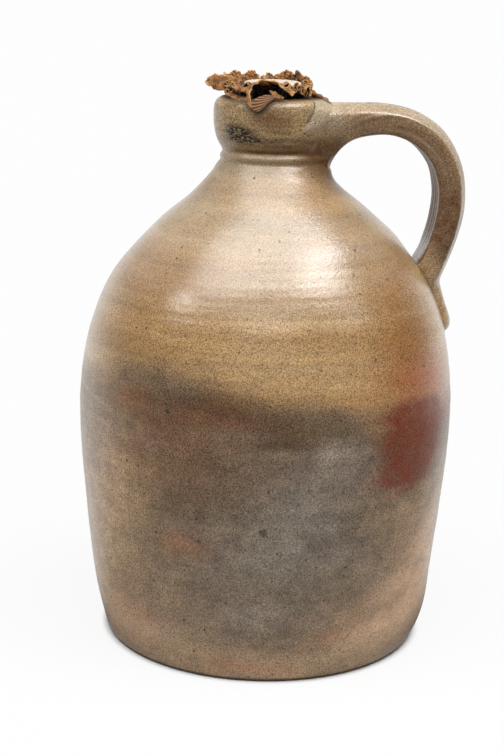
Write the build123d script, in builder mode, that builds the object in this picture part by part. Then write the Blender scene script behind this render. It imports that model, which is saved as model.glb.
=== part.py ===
from build123d import *
import os
from math import cos, pi, radians, sin, sqrt, tan

# A one-gallon stoneware jug with a cloth-packed stopper, in millimetres.
# +Z is up, the origin is the centre of the foot, and the handle points along +X.

# Thrown wall: its radius at each level, and the rise from the level below
foot_radius = 81.1
heel_radius = 86.7
side_radius = 91.0
belly_radius = 95.1
shoulder_radius = 83.0
slope_radius = 57.0
throat_radius = 33.2
neck_radius = 25.4
heel_rise = 23.0
side_rise = 37.0
belly_rise = 58.0
shoulder_rise = 62.0
slope_rise = 34.0
throat_rise = 22.0
neck_rise = 10.0
foot_lean = 0.3
neck_lean = -0.55
foot_round = 1.5

# Inside of the body
wall_thickness = 8.5
floor_thickness = 10.0
floor_round = 16.0

# Roll and groove under the collar, then the collar lip
bead_rise = 3.2
bead_proud = 0.3
groove_radius = 24.7
groove_rise = 1.0
collar_radius = 27.6
collar_rise = 5.8
lip_radius = 29.3
lip_rise = 11.0
crest_radius = 22.5
crest_rise = 11.0
collar_lean = 0.3
mouth_round = 2.5

# Pulled strap handle
strap_width = 27.0
strap_thickness = 15.0
strap_crown = 4.6
strap_inner_narrowing = 1.0
strap_edge_round = 2.4
handle_reach = 98.8
handle_drop = 3.6
arch_radius = 37.0
arch_places = (0, 0.33, 0.67, 1)
descent_places = (0.35, 0.7, 1)
landing_drop = 94.0
seat_depth = 4.0

# Root of the strap: it flares onto the lip and runs down the throat as a web
root_start_radius = 20.0
root_half_width = 19.5
root_tip_half_width = 5.0
root_drop = 38.5
root_sink = 8.0
root_lean = 2.5
root_turns = (18, 40, 64)
web_fullness = 0.8

# Tail of the strap: pressed down the shoulder and ended with a thumb nub
tail_length = 26.0
tail_half_width = 12.0
tail_thickness = 6.0
tail_heel_thickness = 7.5
nub_half_width = 6.0
nub_thickness = 1.6

# Mouth and stopper: a whittled plug pushed into a square of cloth
clearance = 0.3
cloth_thickness = 1.0
mouth_radius = 16.0
stopper_taper = 2.5
plug_depth = 24.0
plug_head = 6.0
plug_top_round = 1.2
plug_foot_round = 2.0
bore_spare = 3.0

# Ruffle of the cloth over the lip
flute_count = 12
ruffle_reach = 11.5
corner_turn = -5.0
right_corner_reach = 10.5
back_corner_reach = 15.0
left_corner_reach = 18.0
front_corner_reach = 12.0
flute_lift = 1.2
inner_crest = 3.0
outer_crest = 5.2
crest_swing = 1.4

# Front corner of the cloth, which curls over the lip as a hood
hood_turn = -97.0
hood_radius = 8.6
hood_half_width = 11.0
hood_end_scale = 0.78
hood_start = 138.0
hood_sweep = 176.0
hood_centre_out = 8.2
hood_centre_drop = 0.6

# Levels that follow from the rises
heel_level = heel_rise
side_level = heel_level + side_rise
belly_level = side_level + belly_rise
shoulder_level = belly_level + shoulder_rise
slope_level = shoulder_level + slope_rise
throat_level = slope_level + throat_rise
neck_level = throat_level + neck_rise
bead_level = neck_level + bead_rise
groove_level = bead_level + groove_rise
collar_level = groove_level + collar_rise
bulge_level = collar_level + lip_rise
lip_top = bulge_level + crest_rise
plug_bottom = lip_top - plug_depth
plug_top = lip_top + plug_head
pocket_bottom = plug_bottom - clearance - cloth_thickness
bore_bottom = pocket_bottom - bore_spare

os.makedirs("parts", exist_ok=True)

# Outer wall as one curve: x is the radius and y the height
with BuildLine():
    outer_wall = Spline(
        (foot_radius, 0),
        (heel_radius, heel_level),
        (side_radius, side_level),
        (belly_radius, belly_level),
        (shoulder_radius, shoulder_level),
        (slope_radius, slope_level),
        (throat_radius, throat_level),
        (neck_radius, neck_level),
        tangents=[(foot_lean, 1), (neck_lean, 1)],
    )


def wall_place(height):
    """Where along the outer wall's curve a height lies, from 0 at the foot to 1 at the neck."""
    low = 0.0
    high = 1.0
    for _ in range(40):
        middle = (low + high) / 2
        if (outer_wall @ middle).Y < height:
            low = middle
        else:
            high = middle
    return low


def wall_radius(height):
    """Outer radius of the thrown wall at a height."""
    return (outer_wall @ wall_place(height)).X


def inside_wall(height):
    """Point one wall thickness inside the outer wall, square to it, as radius and height."""
    place = wall_place(height)
    along = outer_wall % place
    return (outer_wall @ place) + Vector(-along.Y, along.X) * wall_thickness


def bore_radius(height):
    """Radius of the tapered mouth at a height."""
    return mouth_radius - (lip_top - height) * tan(radians(stopper_taper))


def pocket_radius(height):
    """Inner radius of the cloth where it lines the mouth."""
    return bore_radius(height) - clearance - cloth_thickness


def plug_radius(height):
    """Radius of the plug at a height."""
    return pocket_radius(height) - clearance


# Outside of the body as a full solid, which also trims the handle
with BuildPart() as envelope:
    with BuildSketch(Plane.XZ):
        with BuildLine():
            Line((0, 0), (foot_radius, 0))
            add(outer_wall)
            bead = ThreePointArc(
                (neck_radius, neck_level),
                (neck_radius + bead_proud, neck_level + bead_rise / 2),
                (groove_radius, bead_level),
            )
            groove = Line(bead @ 1, (groove_radius, groove_level))
            bevel = Line(groove @ 1, (collar_radius, collar_level))
            collar = Spline(
                bevel @ 1,
                (lip_radius, bulge_level),
                (crest_radius, lip_top),
                tangents=[(collar_lean, 1), (0, 1), (-1, 0)],
            )
            Polyline(collar @ 1, (0, lip_top), (0, 0))
        make_face()
    revolve(axis=Axis.Z)
    fillet(envelope.edges().group_by(Axis.Z)[0], radius=foot_round)

# Body: the envelope hollowed to an even wall, with a tapered mouth
with BuildPart() as jug_body:
    add(envelope.part)
    with BuildSketch(Plane.XZ) as cavity:
        with BuildLine():
            floor_radius = wall_radius(floor_thickness) - wall_thickness
            floor_line = Line((0, floor_thickness), (floor_radius, floor_thickness))
            inner_wall = Spline(
                floor_line @ 1,
                inside_wall(side_level),
                inside_wall(belly_level),
                inside_wall(shoulder_level),
                inside_wall(slope_level),
                inside_wall(throat_level),
                (bore_radius(bore_bottom), bore_bottom),
                tangents=[(foot_lean, 1), (0, 1)],
            )
            mouth = Line(inner_wall @ 1, (mouth_radius, lip_top))
            Polyline(mouth @ 1, (0, lip_top), floor_line @ 0)
        make_face()
        fillet(cavity.vertices().group_by(Axis.Y)[0].sort_by(Axis.X)[-1], radius=floor_round)
    revolve(axis=Axis.Z, mode=Mode.SUBTRACT)
    mouth_edges = jug_body.edges().filter_by(GeomType.CIRCLE).group_by(Axis.Z)[-1]
    fillet(mouth_edges.sort_by(SortBy.RADIUS)[0], radius=mouth_round)
jug_body.part.label = "jug_body"
export_step(jug_body.part, "parts/jug_body.step")


def strap_slice(inner, outer, inner_half, outer_half):
    """Slice of the strap between two points of its middle plane: a flat back, two sides and a crowned face."""
    across = Vector(0, 1, 0)
    outward = outer - inner
    side_height = outward.length - strap_crown
    with BuildSketch(Plane(origin=inner, x_dir=across, z_dir=across.cross(outward))) as slice_sketch:
        with BuildLine():
            sides = Polyline(
                (outer_half, side_height),
                (inner_half, 0),
                (-inner_half, 0),
                (-outer_half, side_height),
            )
            ThreePointArc(sides @ 1, (0, outward.length), sides @ 0)
        make_face()
        fillet(slice_sketch.vertices(), radius=strap_edge_round)
    return slice_sketch.sketch


def tail_slice(height, thickness, half_width):
    """Level slice of the pressed tail: a low arc that stands on the wall."""
    base = wall_radius(height) - seat_depth
    with BuildSketch(Plane.XY.offset(height)) as slice_sketch:
        with BuildLine():
            face = ThreePointArc(
                (base, -half_width),
                (wall_radius(height) + thickness, 0),
                (base, half_width),
            )
            Line(face @ 1, face @ 0)
        make_face()
    return slice_sketch.sketch


# Middle line of the strap: a quarter arch, then a wider arc down to the shoulder
strap_half = strap_width / 2
strap_inner_half = strap_half - strap_inner_narrowing
strap_level = lip_top - handle_drop - strap_thickness / 2
landing_level = lip_top - landing_drop
arch_centre = (handle_reach - strap_thickness / 2 - arch_radius, strap_level - arch_radius)
with BuildLine(Plane.XZ):
    arch = CenterArc(arch_centre, arch_radius, 90, -90)
    descent = TangentArc(
        (arch_centre[0] + arch_radius, arch_centre[1]),
        (wall_radius(landing_level) - seat_depth, landing_level),
        tangent=(0, -1),
    )

# Slices of the flared root, from inside the neck out to the arch
root_level = lip_top - root_drop
root_radius = wall_radius(root_level)
root_top = lip_top - handle_drop
root_rise = root_top - strap_thickness - root_level
strap_slices = []
for radius in (root_start_radius, (root_start_radius + root_radius + root_lean) / 2):
    strap_slices.append(
        strap_slice(
            Vector(radius, 0, root_level - root_sink),
            Vector(radius, 0, root_top),
            root_tip_half_width,
            root_half_width,
        )
    )
for turn in root_turns:
    out = cos(radians(turn))
    up = sin(radians(turn)) ** web_fullness
    strap_slices.append(
        strap_slice(
            Vector(arch_centre[0] - (arch_centre[0] - root_radius) * out, 0, root_level + root_rise * up),
            Vector(arch_centre[0] - (arch_centre[0] - root_radius - root_lean) * out, 0, root_top),
            strap_inner_half - (strap_inner_half - root_tip_half_width) * (1 - up),
            strap_half + (root_half_width - strap_half) * (1 - up),
        )
    )

# Slices of the strap along its arch and descent
for stretch, places in ((arch, arch_places), (descent, descent_places)):
    for place in places:
        middle = stretch @ place
        along = stretch % place
        outward = Vector(-along.Z, 0, along.X) * (strap_thickness / 2)
        strap_slices.append(
            strap_slice(middle - outward, middle + outward, strap_inner_half, strap_half)
        )

# Slices of the tail, from inside the strap down to the nub
tail_slices = [
    tail_slice(landing_level + tail_thickness, tail_thickness, tail_half_width),
    tail_slice(landing_level, tail_heel_thickness, tail_half_width),
    tail_slice(landing_level - tail_length / 3, tail_thickness, tail_half_width),
    tail_slice(landing_level - tail_length * 3 / 4, tail_thickness, tail_half_width),
    tail_slice(landing_level - tail_length, nub_thickness, nub_half_width),
]

with BuildPart() as strap_handle:
    loft(sections=strap_slices)
    loft(sections=tail_slices)
    add(envelope.part, mode=Mode.SUBTRACT)
strap_handle.part.label = "strap_handle"
export_step(strap_handle.part, "parts/strap_handle.step")

# Plug: a whittled taper with eased ends
with BuildPart() as stopper_plug:
    with BuildSketch(Plane.XY.offset(plug_bottom)):
        Circle(plug_radius(plug_bottom))
    with BuildSketch(Plane.XY.offset(plug_top)):
        Circle(plug_radius(plug_top))
    loft()
    fillet(stopper_plug.edges().group_by(Axis.Z)[-1], radius=plug_top_round)
    fillet(stopper_plug.edges().group_by(Axis.Z)[0], radius=plug_foot_round)
stopper_plug.part.label = "stopper_plug"
export_step(stopper_plug.part, "parts/stopper_plug.step")


def flute_slice(azimuth, radius, valley, crest):
    """Upright slice across one flute of the ruffle: an arched strip of cloth, doubled where it meets the next."""
    half_pitch = radius * tan(pi / flute_count)
    bend = (half_pitch**2 + crest**2) / (2 * crest)
    valley_top = valley + crest - bend + sqrt((bend + cloth_thickness) ** 2 - half_pitch**2)
    outward = Vector(1, 0, 0).rotate(Axis.Z, azimuth)
    plane = Plane(origin=outward * radius, x_dir=Vector(0, 0, 1).cross(outward), z_dir=outward)
    with BuildSketch(plane) as slice_sketch:
        with BuildLine():
            upper = ThreePointArc(
                (-half_pitch, valley_top),
                (0, valley + crest + cloth_thickness),
                (half_pitch, valley_top),
            )
            lower = ThreePointArc((half_pitch, valley), (0, valley + crest), (-half_pitch, valley))
            Line(upper @ 1, lower @ 0)
            Line(lower @ 1, upper @ 0)
        make_face()
    return slice_sketch.sketch


def hood_slice(offset, scale):
    """Upright slice across the curled front corner, seen along the lip: a strip bent over its edge."""
    outward = Vector(1, 0, 0).rotate(Axis.Z, hood_turn)
    sideways = Vector(0, 0, 1).cross(outward)
    centre = (mouth_radius + hood_centre_out, lip_top - hood_centre_drop)
    plane = Plane(origin=sideways * offset, x_dir=outward, z_dir=outward.cross(Vector(0, 0, 1)))
    with BuildSketch(plane) as slice_sketch:
        with BuildLine():
            inner = CenterArc(centre, hood_radius * scale, hood_start, -hood_sweep)
            outer = CenterArc(centre, hood_radius * scale + cloth_thickness, hood_start, -hood_sweep)
            Line(inner @ 0, outer @ 0)
            Line(inner @ 1, outer @ 1)
        make_face()
    return slice_sketch.sketch


# Cloth: a pocket round the plug, a fluted ruffle over the lip and the curled front corner
flute_radius = pocket_radius(plug_top) + clearance
flute_level = lip_top + flute_lift
collar_top = flute_level + inner_crest
corner_reaches = (right_corner_reach, back_corner_reach, left_corner_reach, front_corner_reach)
flute_pairs = []
for index in range(flute_count):
    from_first = 360 / flute_count * index
    corner = round(from_first / 90)
    nearness = 1 - abs(sin(radians(2 * (from_first - 90 * corner))))
    reach = ruffle_reach + (corner_reaches[corner % 4] - ruffle_reach) * nearness
    crest = outer_crest + crest_swing * cos(radians(5 * from_first))
    azimuth = corner_turn + from_first
    flute_pairs.append(
        [
            flute_slice(azimuth, flute_radius, flute_level, inner_crest),
            flute_slice(azimuth, flute_radius + reach, flute_level, crest),
        ]
    )
hood_slices = [
    hood_slice(-hood_half_width, hood_end_scale),
    hood_slice(0, 1),
    hood_slice(hood_half_width, hood_end_scale),
]

with BuildPart() as stopper_cloth:
    with BuildSketch(Plane.XZ):
        with BuildLine():
            Polyline(
                (0, pocket_bottom),
                (pocket_radius(pocket_bottom) + cloth_thickness, pocket_bottom),
                (pocket_radius(collar_top) + cloth_thickness, collar_top),
                (pocket_radius(collar_top), collar_top),
                (pocket_radius(plug_bottom - clearance), plug_bottom - clearance),
                (0, plug_bottom - clearance),
                close=True,
            )
        make_face()
    revolve(axis=Axis.Z)
    for pair in flute_pairs:
        loft(sections=pair)
    loft(sections=hood_slices)
stopper_cloth.part.label = "stopper_cloth"
export_step(stopper_cloth.part, "parts/stopper_cloth.step")
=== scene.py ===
"""The looks of a stoneware jug with a cloth-packed stopper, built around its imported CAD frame, in metres."""

import math

import bmesh
import bpy
import numpy as np
from mathutils import Matrix, Vector
from mathutils.bvhtree import BVHTree


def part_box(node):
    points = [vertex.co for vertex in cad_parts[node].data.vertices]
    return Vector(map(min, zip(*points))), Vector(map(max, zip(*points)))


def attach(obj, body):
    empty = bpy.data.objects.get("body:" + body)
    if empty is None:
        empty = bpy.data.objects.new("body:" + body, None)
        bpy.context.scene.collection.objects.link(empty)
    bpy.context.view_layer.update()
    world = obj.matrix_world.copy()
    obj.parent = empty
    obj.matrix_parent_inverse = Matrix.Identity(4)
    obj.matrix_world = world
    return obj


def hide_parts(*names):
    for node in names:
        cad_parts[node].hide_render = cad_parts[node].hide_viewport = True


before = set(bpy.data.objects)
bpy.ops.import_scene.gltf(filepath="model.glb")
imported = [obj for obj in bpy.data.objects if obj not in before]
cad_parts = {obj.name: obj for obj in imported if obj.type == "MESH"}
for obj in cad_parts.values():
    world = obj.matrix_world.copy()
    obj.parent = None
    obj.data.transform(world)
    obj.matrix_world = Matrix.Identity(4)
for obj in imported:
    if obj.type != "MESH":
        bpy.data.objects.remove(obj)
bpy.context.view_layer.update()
scene = bpy.context.scene
scene.view_settings.view_transform = "Standard"

MM = 0.001


# Small helpers


def smooth(edge_low, edge_high, value):
    """0 up to edge_low and 1 from edge_high, with an eased step between. The edges may also fall."""
    t = np.clip((value - edge_low) / (edge_high - edge_low), 0, 1)
    return t * t * (3 - 2 * t)


def bell(value):
    """1 at 0, falling to 0 on both sides."""
    return np.exp(-(value**2))


def turn_between(azimuth, other):
    """The signed turn from other to azimuth in degrees, from -180 to 180."""
    return (np.asarray(azimuth) - other + 180) % 360 - 180


def on_side(azimuth, side, beyond, within):
    """1 within so many degrees of a side, 0 beyond so many."""
    return smooth(beyond, within, np.abs(turn_between(azimuth, side)))


def around(radius, turn, height):
    """Points from a radius, a turn about the axis and a height."""
    return np.stack([radius * np.cos(turn), radius * np.sin(turn), height], axis=-1)


def lengths(line):
    """How long a line is up to each of its points."""
    return np.r_[0, np.cumsum(np.linalg.norm(np.diff(line, axis=0), axis=1))]


def waves(value, wave_lengths, seed):
    """A sum of sine waves of those lengths, each with its own phase and weight, from about -1 to 1."""
    rng = np.random.default_rng(seed)
    total = np.zeros_like(value)
    for length in wave_lengths:
        total += rng.uniform(0.5, 1) * np.sin(2 * np.pi * (value / length + rng.uniform()))
    return total / len(wave_lengths)


def add_object(name, vertices, faces):
    mesh = bpy.data.meshes.new(name)
    mesh.from_pydata([tuple(v) for v in vertices], [], faces)
    mesh.update()
    made = bpy.data.objects.new(name, mesh)
    scene.collection.objects.link(made)
    mesh.shade_smooth()
    return made


def grid_faces(rows, columns, closed):
    """Quads over a grid of rows and columns of vertices; closed joins the last column to the first."""
    corners = ((0, 0), (0, 1), (1, 1), (1, 0))
    return [
        tuple((r + down) * columns + (c + on) % columns for down, on in corners)
        for r in range(rows - 1)
        for c in range(columns if closed else columns - 1)
    ]


def ring_grid(rows, columns):
    """Radius, turn and height of every point when rows of radius and height are turned about the axis."""
    turns = np.linspace(0, 2 * np.pi, columns, endpoint=False)
    radius, turn = np.meshgrid(rows[:, 0], turns, indexing="ij")
    return radius, turn, np.repeat(rows[:, 1][:, None], columns, axis=1)


def add_turned(name, points, first_level, last_level):
    """A closed piece from rings of points, with a pole on the axis at either end."""
    rings, columns = points.shape[:2]
    last_ring = (rings - 1) * columns
    first_pole = rings * columns
    faces = grid_faces(rings, columns, closed=True)
    for c in range(columns):
        following = (c + 1) % columns
        faces += [(first_pole, following, c), (first_pole + 1, last_ring + c, last_ring + following)]
    poles = [[0, 0, first_level], [0, 0, last_level]]
    return add_object(name, np.vstack([points.reshape(-1, 3), poles]), faces)


def set_attribute(piece, name, values):
    layer = piece.data.attributes.new(name, "FLOAT", "POINT")
    layer.data.foreach_set("value", np.asarray(values, np.float32))


def vertex_array(mesh):
    co = np.empty(len(mesh.vertices) * 3, np.float32)
    mesh.vertices.foreach_get("co", co)
    return co.reshape(-1, 3).astype(float)


def normal_array(mesh):
    normals = np.empty(len(mesh.vertices) * 3, np.float32)
    mesh.vertex_normals.foreach_get("vector", normals)
    return normals.reshape(-1, 3).astype(float)


def move_vertices(mesh, points):
    mesh.vertices.foreach_set("co", points.astype(np.float32).ravel())
    mesh.update()


def apply_modifiers(piece):
    """Give a piece the mesh that its modifiers make."""
    made = bpy.data.meshes.new_from_object(piece.evaluated_get(bpy.context.evaluated_depsgraph_get()))
    piece.modifiers.clear()
    piece.data = made
    return made


def tree_of(mesh):
    """A search tree of a mesh's faces."""
    return BVHTree.FromPolygons(vertex_array(mesh).tolist(), [tuple(p.vertices) for p in mesh.polygons])


def distances(tree, points, reach):
    """How far each point is from a tree's faces, up to reach."""
    found = [tree.find_nearest(Vector(point), reach)[3] for point in points]
    return np.array([reach if distance is None else distance for distance in found])


# Node materials in few words


class Nodes:
    """A node tree. Each call adds what it names and gives back the output."""

    def __init__(self, tree):
        self.tree = tree

    def put(self, socket, value):
        if isinstance(value, bpy.types.NodeSocket):
            self.tree.links.new(value, socket)
        else:
            socket.default_value = value

    def add(self, kind, inputs, output=0, **settings):
        node = self.tree.nodes.new("ShaderNode" + kind)
        for name, value in settings.items():
            setattr(node, name, value)
        for key, value in inputs.items():
            self.put(node.inputs[key], value)
        return node.outputs[output]

    def math(self, operation, a, b=0.0, c=0.0, clamp=False):
        return self.add("Math", {0: a, 1: b, 2: c}, operation=operation, use_clamp=clamp)

    def vector(self, operation, a, b=(0, 0, 0), output=0):
        return self.add("VectorMath", {0: a, 1: b}, output, operation=operation)

    def part(self, vector, axis):
        return self.add("SeparateXYZ", {0: vector}, axis)

    def step(self, value, low, high, to_low=0.0, to_high=1.0):
        inputs = {"Value": value, "From Min": low, "From Max": high, "To Min": to_low, "To Max": to_high}
        return self.add("MapRange", inputs, interpolation_type="SMOOTHSTEP")

    def ray(self, kind):
        return self.add("LightPath", {}, f"Is {kind} Ray")

    def choose(self, chooser, if_not, if_so):
        return self.add("Mix", {0: chooser, 2: if_not, 3: if_so})


class Paint(Nodes):
    """A node material."""

    def __init__(self, name):
        self.material = bpy.data.materials.new(name)
        self.material.use_nodes = True
        super().__init__(self.material.node_tree)
        self.shader = self.tree.nodes["Principled BSDF"]

    def place(self):
        return self.add("TexCoord", {}, "Object")

    def attribute(self, name):
        return self.add("Attribute", {}, "Fac", attribute_name=name)

    def noise(self, vector, scale, detail, roughness, output="Fac"):
        inputs = {"Vector": vector, "Scale": scale, "Detail": detail, "Roughness": roughness}
        return self.add("TexNoise", inputs, output)

    def streaks(self, vector, scales, detail, roughness):
        """Noise with a scale of its own along each axis."""
        return self.noise(self.vector("MULTIPLY", vector, scales), 1.0, detail, roughness)

    def cells(self, vector, scale, output="Distance"):
        return self.add("TexVoronoi", {"Vector": vector, "Scale": scale}, output)

    def mix(self, share, a, b, blend_type="MIX"):
        a, b = [(*c, 1.0) if isinstance(c, tuple) else c for c in (a, b)]
        return self.add("Mix", {0: share, 6: a, 7: b}, 2, data_type="RGBA", blend_type=blend_type)

    def lay(self, colour, other, share, more):
        """Another colour over this one, by the product of two shares."""
        return self.mix(self.math("MULTIPLY", share, more, clamp=True), colour, other)

    def tint(self, colour, value, low, high, dark, light):
        """The colour times a number that goes from dark to light while the value goes from low to high."""
        return self.mix(1.0, colour, self.step(value, low, high, dark, light), "MULTIPLY")

    def bump(self, height, distance, strength):
        return self.add("Bump", {"Height": height, "Distance": distance, "Strength": strength})

    def finish(self, **sockets):
        for name, value in sockets.items():
            self.put(self.shader.inputs[name.replace("_", " ")], value)
        return self.material


# Camera, at the photograph's viewing angle

CAMERA_PLACE = (-0.06917, -0.79058, 0.3318)
CAMERA_HEADING = math.radians(4.49)
CAMERA_PITCH = math.radians(14.11)
CAMERA_ROLL = math.radians(1.36)
CAMERA_LENS = 75.19
SENSOR_HEIGHT = 36.0

forward = Vector((
    math.sin(CAMERA_HEADING) * math.cos(CAMERA_PITCH),
    math.cos(CAMERA_HEADING) * math.cos(CAMERA_PITCH),
    -math.sin(CAMERA_PITCH),
))
level_right = Vector((math.cos(CAMERA_HEADING), -math.sin(CAMERA_HEADING), 0))
level_up = level_right.cross(forward)
right = math.cos(CAMERA_ROLL) * level_right + math.sin(CAMERA_ROLL) * level_up
up = math.cos(CAMERA_ROLL) * level_up - math.sin(CAMERA_ROLL) * level_right
camera_data = bpy.data.cameras.new("camera")
camera_data.sensor_fit = "VERTICAL"
camera_data.sensor_height = SENSOR_HEIGHT
camera_data.lens = CAMERA_LENS
camera = bpy.data.objects.new("camera", camera_data)
scene.collection.objects.link(camera)
camera.matrix_world = Matrix.Translation(CAMERA_PLACE) @ Matrix((right, up, -forward)).transposed().to_4x4()
scene.camera = camera


# Body: turned from the CAD node's own section, with the marks of throwing

BODY_COLUMNS = 240
FOOT_ROWS = 14
WALL_ROWS = 268
LIP_ROWS = 92
INSIDE_ROWS = 30
FOOT_FLAT = 0.0785
LIP_FOOT = 0.2462
LIP_EASE = 0.0013
LIP_TOP = (0.268, 0.278)
COLLAR_LEVEL = 0.262
MOUTH_DEPTH = 0.035
RING_LENGTHS = (0.0041, 0.0073, 0.0112, 0.0168, 0.031)
RING_PITCH = 0.0088
RING_DEPTH = 0.00012
RIDGES = (  # height, half width and rise of the plainest throwing ridges
    (0.1880, 0.0085, 0.00020), (0.1740, 0.0060, 0.00010), (0.2040, 0.0075, 0.00010),
    (0.2185, 0.0060, 0.00008), (0.1600, 0.0065, 0.00014), (0.1240, 0.0040, 0.00012),
    (0.0620, 0.0070, 0.00012), (0.2310, 0.0045, 0.00008),
)
NECK_RINGS = ((0.2510, 0.0010, -0.0006), (0.2480, 0.0013, 0.0004), (0.2445, 0.0014, -0.0001))
RING_WANDER = 0.0004
SLACK = (  # azimuth of the side, then height, half height and rise of the places slumped out of round
    (175, 0.2280, 0.009, -0.0016), (175, 0.2070, 0.014, -0.0011), (175, 0.1700, 0.022, -0.0006),
    (175, 0.2435, 0.003, 0.0003), (-5, 0.2340, 0.008, -0.0012), (-5, 0.2080, 0.008, 0.0008),
    (-5, 0.0160, 0.014, 0.0015),
)
SLACK_SPREAD = (100, 35)  # degrees from the side at which it ends and is whole
BELLY_WOBBLE = 0.00045


def section_of(node):
    """Half of a turned node's section: rows of radius and height, from the foot's centre back to the axis."""
    cut = bmesh.new()
    cut.from_mesh(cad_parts[node].data)
    bmesh.ops.remove_doubles(cut, verts=cut.verts, dist=1e-6)
    everything = cut.verts[:] + cut.edges[:] + cut.faces[:]
    plane = {"plane_co": (0, 0, 0), "plane_no": (0, 1, 0)}
    bmesh.ops.bisect_plane(cut, geom=everything, dist=1e-7, clear_inner=True, clear_outer=True, **plane)
    bmesh.ops.remove_doubles(cut, verts=cut.verts, dist=2e-6)
    lowest = min(v.co.z for v in cut.verts)
    here = min(cut.verts, key=lambda v: (v.co.z > lowest + 1e-5, abs(v.co.x)))
    walked, seen = [], set()
    while here is not None:
        seen.add(here)
        walked.append((here.co.x, here.co.z))
        ahead = [e.other_vert(here) for e in here.link_edges if e.other_vert(here) not in seen]
        here = max(ahead, key=lambda v: v.co.x) if len(walked) == 1 else (ahead[0] if ahead else None)
        if here is not None and len(walked) > 3 and here.co.x < 1e-4:
            here = None
    cut.free()
    line = np.array(walked)
    return np.vstack([[0, line[0, 1]], line[line[:, 0] > 1e-4], [0, line[-1, 1]]])


def resample(line, places):
    """Points on a smooth curve through the line's own points, at those lengths along it."""
    steps = np.linalg.norm(np.diff(line, axis=0), axis=1)
    keep = np.r_[True, steps > 1e-6]
    line, along = line[keep], np.r_[0, np.cumsum(steps[steps > 1e-6])]
    gaps = np.diff(along)
    slopes = np.diff(line, axis=0) / gaps[:, None]
    middle = slopes[:-1] * gaps[1:, None] + slopes[1:] * gaps[:-1, None]
    middle /= (gaps[1:] + gaps[:-1])[:, None]
    tangents = np.vstack([slopes[:1], middle, slopes[-1:]])
    piece = np.clip(np.searchsorted(along, places, side="right") - 1, 0, len(gaps) - 1)
    t = ((places - along[piece]) / gaps[piece])[:, None]
    width = gaps[piece][:, None]
    return (
        (2 * t**3 - 3 * t**2 + 1) * line[piece]
        + (t**3 - 2 * t**2 + t) * width * tangents[piece]
        + (3 * t**2 - 2 * t**3) * line[piece + 1]
        + (t**3 - t**2) * width * tangents[piece + 1]
    )


section = section_of("jug_body")
section_along = lengths(section)
top_row = int(np.argmax(section[:, 1]))
foot_edge_along = section_along[np.argmax(section[:, 0] > FOOT_FLAT)]
lip_foot_along = np.interp(LIP_FOOT, section[: top_row + 1, 1], section_along[: top_row + 1])
mouth_along = section_along[top_row] + MOUTH_DEPTH
row_places = np.r_[
    np.linspace(0, foot_edge_along, FOOT_ROWS)[1:],
    np.linspace(foot_edge_along, lip_foot_along, WALL_ROWS)[1:],
    np.linspace(lip_foot_along, mouth_along, LIP_ROWS)[1:],
    np.linspace(mouth_along, section_along[-1], INSIDE_ROWS)[1:-1],
]
rows = resample(section, row_places)
rows[:, 1] -= LIP_EASE * smooth(*LIP_TOP, rows[:, 1])
row_tangents = np.gradient(rows, row_places, axis=0)
row_tangents /= np.linalg.norm(row_tangents, axis=1)[:, None]
row_normals = np.stack([row_tangents[:, 1], -row_tangents[:, 0]], axis=1)
outside = row_places < section_along[top_row]
on_wall = outside & (row_places > foot_edge_along)


def wall_radius(height):
    """The outer wall's radius at a height."""
    return np.interp(height, rows[on_wall, 1], rows[on_wall, 0])


def slack(azimuth, height):
    """How far the wall stands out of round at a place."""
    total = 0.0
    for side, middle, half_height, rise in SLACK:
        total = total + rise * on_side(azimuth, side, *SLACK_SPREAD) * bell((height - middle) / half_height)
    return total * smooth(0.001, 0.009, height)


radius, turn, height = ring_grid(rows, BODY_COLUMNS)
azimuth = turn_between(np.degrees(turn), 0)
spiral = height - RING_PITCH * turn / (2 * np.pi)
ring_strength = smooth(0.003, 0.03, height) * (0.45 + 0.55 * smooth(0.1, 0.19, height))
ring_strength = ring_strength * (1 - 0.7 * smooth(0.195, 0.215, height))
swell = RING_DEPTH * ring_strength * waves(spiral, RING_LENGTHS, seed=4)
for ridge_height, half_width, rise in RIDGES:
    swell = swell + rise * bell((spiral + RING_PITCH / 2 - ridge_height) / half_width)
ringed = on_side(azimuth, -100, 58, 30)
ring_level = height + RING_WANDER * np.sin(turn + 0.8)
for ring_height, half_width, rise in NECK_RINGS:
    swell = swell + ringed * rise * bell((ring_level - ring_height) / half_width)
wobble = BELLY_WOBBLE * smooth(0.0, 0.06, height) * (1 - smooth(0.2, 0.25, height))
swell = swell + wobble * (np.cos(2 * turn + 0.6) + 0.6 * np.cos(3 * turn + 2.0))
swell = np.where(on_wall[:, None], swell + slack(azimuth, height), 0)

# The clay of the handle is smoothed into the wall: both swell a little where they meet
BLEND_WEB = 0.0075
BLEND_LIP = 0.0022
BLEND_TAIL = 0.0026
NEAR_HANDLE = 0.024


def blend_width(level):
    """How wide the smoothed clay is at a height: wide in the web, narrow at the lip and the tail."""
    web = smooth(0.214, 0.228, level) * (1 - smooth(0.249, 0.262, level))
    lip = smooth(0.24, 0.262, level)
    return BLEND_TAIL + (BLEND_LIP - BLEND_TAIL) * lip + (BLEND_WEB - BLEND_TAIL) * web


def blend_rise(distance, level):
    width = blend_width(level)
    return width / 4 * np.clip(1 - distance / width, 0, 1) ** 2


flat_points = around(radius, turn, height)
handle_low, handle_high = (np.array(corner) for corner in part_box("strap_handle"))
near = (flat_points > handle_low - NEAR_HANDLE) & (flat_points < handle_high + NEAR_HANDLE)
near = np.all(near, axis=-1) & outside[:, None]
handle_tree = tree_of(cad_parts["strap_handle"].data)
handle_distance = np.full(radius.shape, NEAR_HANDLE)
handle_distance[near] = distances(handle_tree, flat_points[near], NEAR_HANDLE)
swell = swell + blend_rise(handle_distance, height)

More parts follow.
